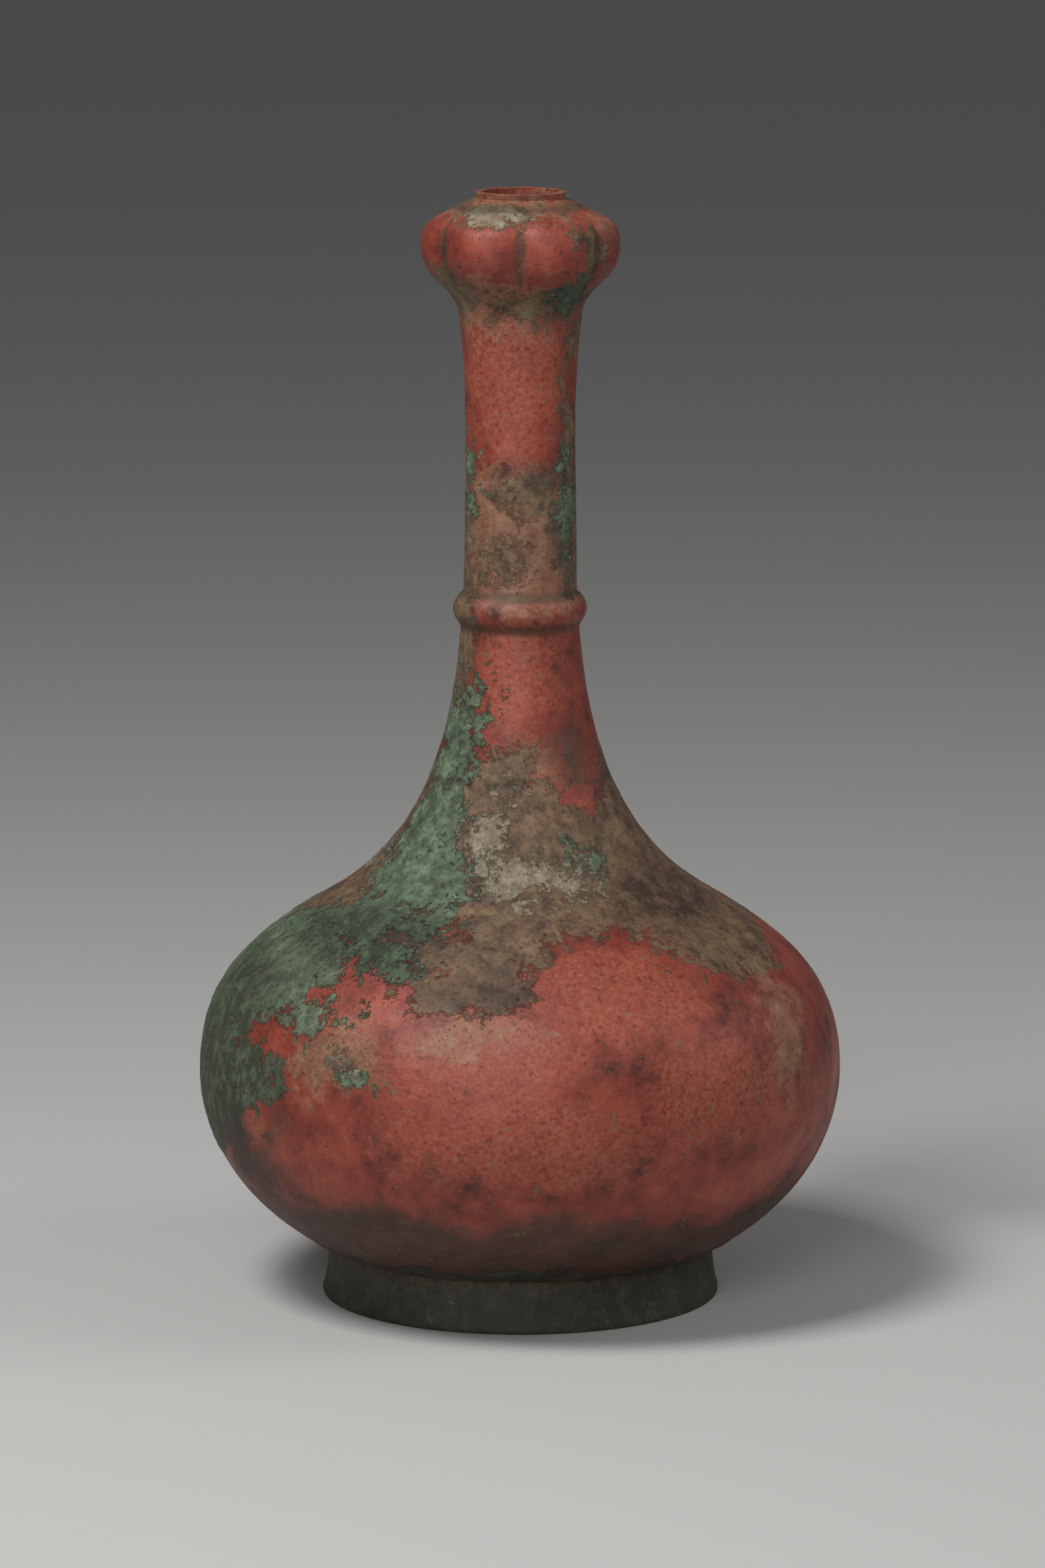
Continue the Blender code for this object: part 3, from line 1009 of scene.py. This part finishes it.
    def red_skin(self, tree: Any, where: Any, blotch: Any, grit: Any) -> tuple[Any, Any]:
        """The cuprite's colour and roughness, lighter where it is fresh and where a sheen is painted on the lower
        belly.

        Args:
            tree: The node tree.
            where: The coordinates.
            blotch: Noise a few millimetres across.
            grit: Fine noise.

        Returns:
            The colour and the roughness.
        """
        broad = self.clouds(tree, where, 20.0, 8.0, 0.60)
        mixed = self.blend(tree, (broad, 0.62), (blotch, 0.38))
        stops = ((0.36, self.deep_red), (0.44, self.brick), (0.53, self.red), (0.64, self.orange))
        colour = self.ramp(tree, mixed, stops)
        # Lighter where the red is fresh, and a painted sheen on the lower belly
        fresh_red_and_painted_light = self.edge(tree, self.inside(tree, Mineral.BLUSH_AND_PAINTED_LIGHT), blotch, 4.0, 8.0, 0.62)
        light = self.ramp(tree, grit, ((0.36, self.red), (0.50, self.orange), (0.64, self.rose)))
        rough = add_node(tree, "ShaderNodeMapRange", {0: mixed, 1: 0.36, 2: 0.64, 3: 0.54, 4: 0.40}).outputs[0]
        return self.lay(tree, fresh_red_and_painted_light, colour, light), rough

    def speckle(self, tree: Any, where: Any, colour: Any, grit: Any) -> Any:
        """Small green grains and dark pits scattered over the red and the crusts.

        Args:
            tree: The node tree.
            where: The coordinates.
            colour: What they lie on.
            grit: Fine noise, whose lows are the pits.

        Returns:
            The colour.
        """
        scatter = self.clouds(tree, where, 4.0, 7.0, 0.72)
        green = self.step(tree, scatter, 0.60, 0.66, 0.6)
        colour = self.lay(tree, green, colour, linear(self.grain_green))
        dark = self.step(tree, grit, 0.40, 0.33, 0.6)
        return self.lay(tree, dark, colour, linear(self.grime))


@dataclass(frozen=True)
class DarkInterior:
    """The raw inside of the casting, a dark mottled brown."""

    name: str = "raw_cast_bronze_interior"
    dark: str = "1F1A14"
    light: str = "4A4030"

    def material(self) -> bpy.types.Material:
        """The finish, as a new material."""
        material = bpy.data.materials.new(self.name)
        material.use_nodes = True
        tree = material.node_tree
        shader = tree.nodes["Principled BSDF"]
        shader.inputs["Metallic"].default_value = 0.1
        shader.inputs["Roughness"].default_value = 0.8
        where = add_node(tree, "ShaderNodeTexCoord").outputs["Object"]
        dust = add_node(tree, "ShaderNodeTexNoise", {"Vector": where, "Scale": per_metre(9), "Detail": 7.0})
        ramp = add_node(tree, "ShaderNodeValToRGB", {"Fac": dust.outputs["Fac"]})
        ramp.color_ramp.elements[0].position = 0.35
        ramp.color_ramp.elements[0].color = linear(self.dark)
        ramp.color_ramp.elements[1].position = 0.70
        ramp.color_ramp.elements[1].color = linear(self.light)
        tree.links.new(ramp.outputs["Color"], shader.inputs["Base Color"])
        bump = add_node(tree, "ShaderNodeBump", {"Height": dust.outputs["Fac"], "Strength": 0.5, "Distance": MM})
        tree.links.new(bump.outputs[0], shader.inputs["Normal"])
        return material


@dataclass
class Studio:
    """Camera, lights and a plain pale floor."""

    camera_back: float = 2.4
    camera_height: float = 0.585
    camera_side: float = 0.0007
    aim_height: float = 0.1722
    lens_mm: float = 167.8
    key_watts: float = 18.0
    front_watts: float = 12.5
    side_watts: float = 7.0
    ambient: float = 0.14
    floor_tone: str = "BDBCB9"

    def camera(self) -> None:
        """A long lens a little above the vessel, as in the photograph."""
        data = bpy.data.cameras.new("camera")
        data.lens = self.lens_mm
        data.sensor_width = 36.0
        data.sensor_fit = "AUTO"
        camera = bpy.data.objects.new("camera", data)
        camera.location = (self.camera_side, -self.camera_back, self.camera_height)
        look = Vector((self.camera_side, 0.0, self.aim_height)) - camera.location
        camera.rotation_euler = look.to_track_quat("-Z", "Y").to_euler()
        bpy.context.scene.collection.objects.link(camera)
        bpy.context.scene.camera = camera

    def lamp(self, name: str, bearing: float, elevation: float, distance: float, size: float, watts: float) -> None:
        """A square soft light that points at the vessel's middle.

        Args:
            name: The light's name.
            bearing: Degrees round from +X, counter-clockwise from above.
            elevation: Degrees above the floor.
            distance: Metres from the vessel.
            size: Metres along each side.
            watts: Its power.
        """
        data = bpy.data.lights.new(name, "AREA")
        data.size = size
        data.energy = watts
        lamp = bpy.data.objects.new(name, data)
        turned, raised = math.radians(bearing), math.radians(elevation)
        out = Vector((math.cos(turned) * math.cos(raised), math.sin(turned) * math.cos(raised), math.sin(raised)))
        lamp.location = Vector((0.0, 0.0, 0.15)) + out * distance
        lamp.rotation_euler = (-out).to_track_quat("-Z", "Y").to_euler()
        bpy.context.scene.collection.objects.link(lamp)

    def lights(self) -> None:
        """A key from the front left, a lower front light, a weak one from the right and a pale surround."""
        self.lamp("key", 224, 58, 1.5, 0.45, self.key_watts)
        self.lamp("front", 258, 20, 2.0, 0.8, self.front_watts)
        self.lamp("side", 352, 32, 1.8, 0.9, self.side_watts)
        world = bpy.data.worlds.new("surround")
        world.use_nodes = True
        world.node_tree.nodes["Background"].inputs["Color"].default_value = linear("E8EAEE")
        world.node_tree.nodes["Background"].inputs["Strength"].default_value = self.ambient
        bpy.context.scene.world = world
        bpy.context.scene.view_settings.view_transform = "Standard"

    def floor(self) -> None:
        """The plain pale floor that the vessel stands on."""
        bpy.ops.object.select_all(action="DESELECT")
        bpy.ops.mesh.primitive_plane_add(size=40.0, location=(0.0, 0.0, 0.0))
        floor = bpy.context.object
        floor.name = "floor"
        material = bpy.data.materials.new("pale_matt_board")
        material.use_nodes = True
        shader = material.node_tree.nodes["Principled BSDF"]
        shader.inputs["Base Color"].default_value = linear(self.floor_tone)
        shader.inputs["Roughness"].default_value = 0.85
        floor.data.materials.append(material)


def main() -> None:
    """Builds the vessel and the studio round it, and logs the vessel's triangles."""
    vessel = GarlicMouthVessel(CastForm())
    piece = vessel.build()
    vessel.dress()
    triangles = sum(len(polygon.vertices) - 2 for polygon in piece.data.polygons)
    LOG.info("%s: %d triangles, %d rings", piece.name, triangles, len(vessel.form.faces))
    studio = Studio()
    studio.camera()
    studio.lights()
    studio.floor()


if __name__ == "__main__":
    main()
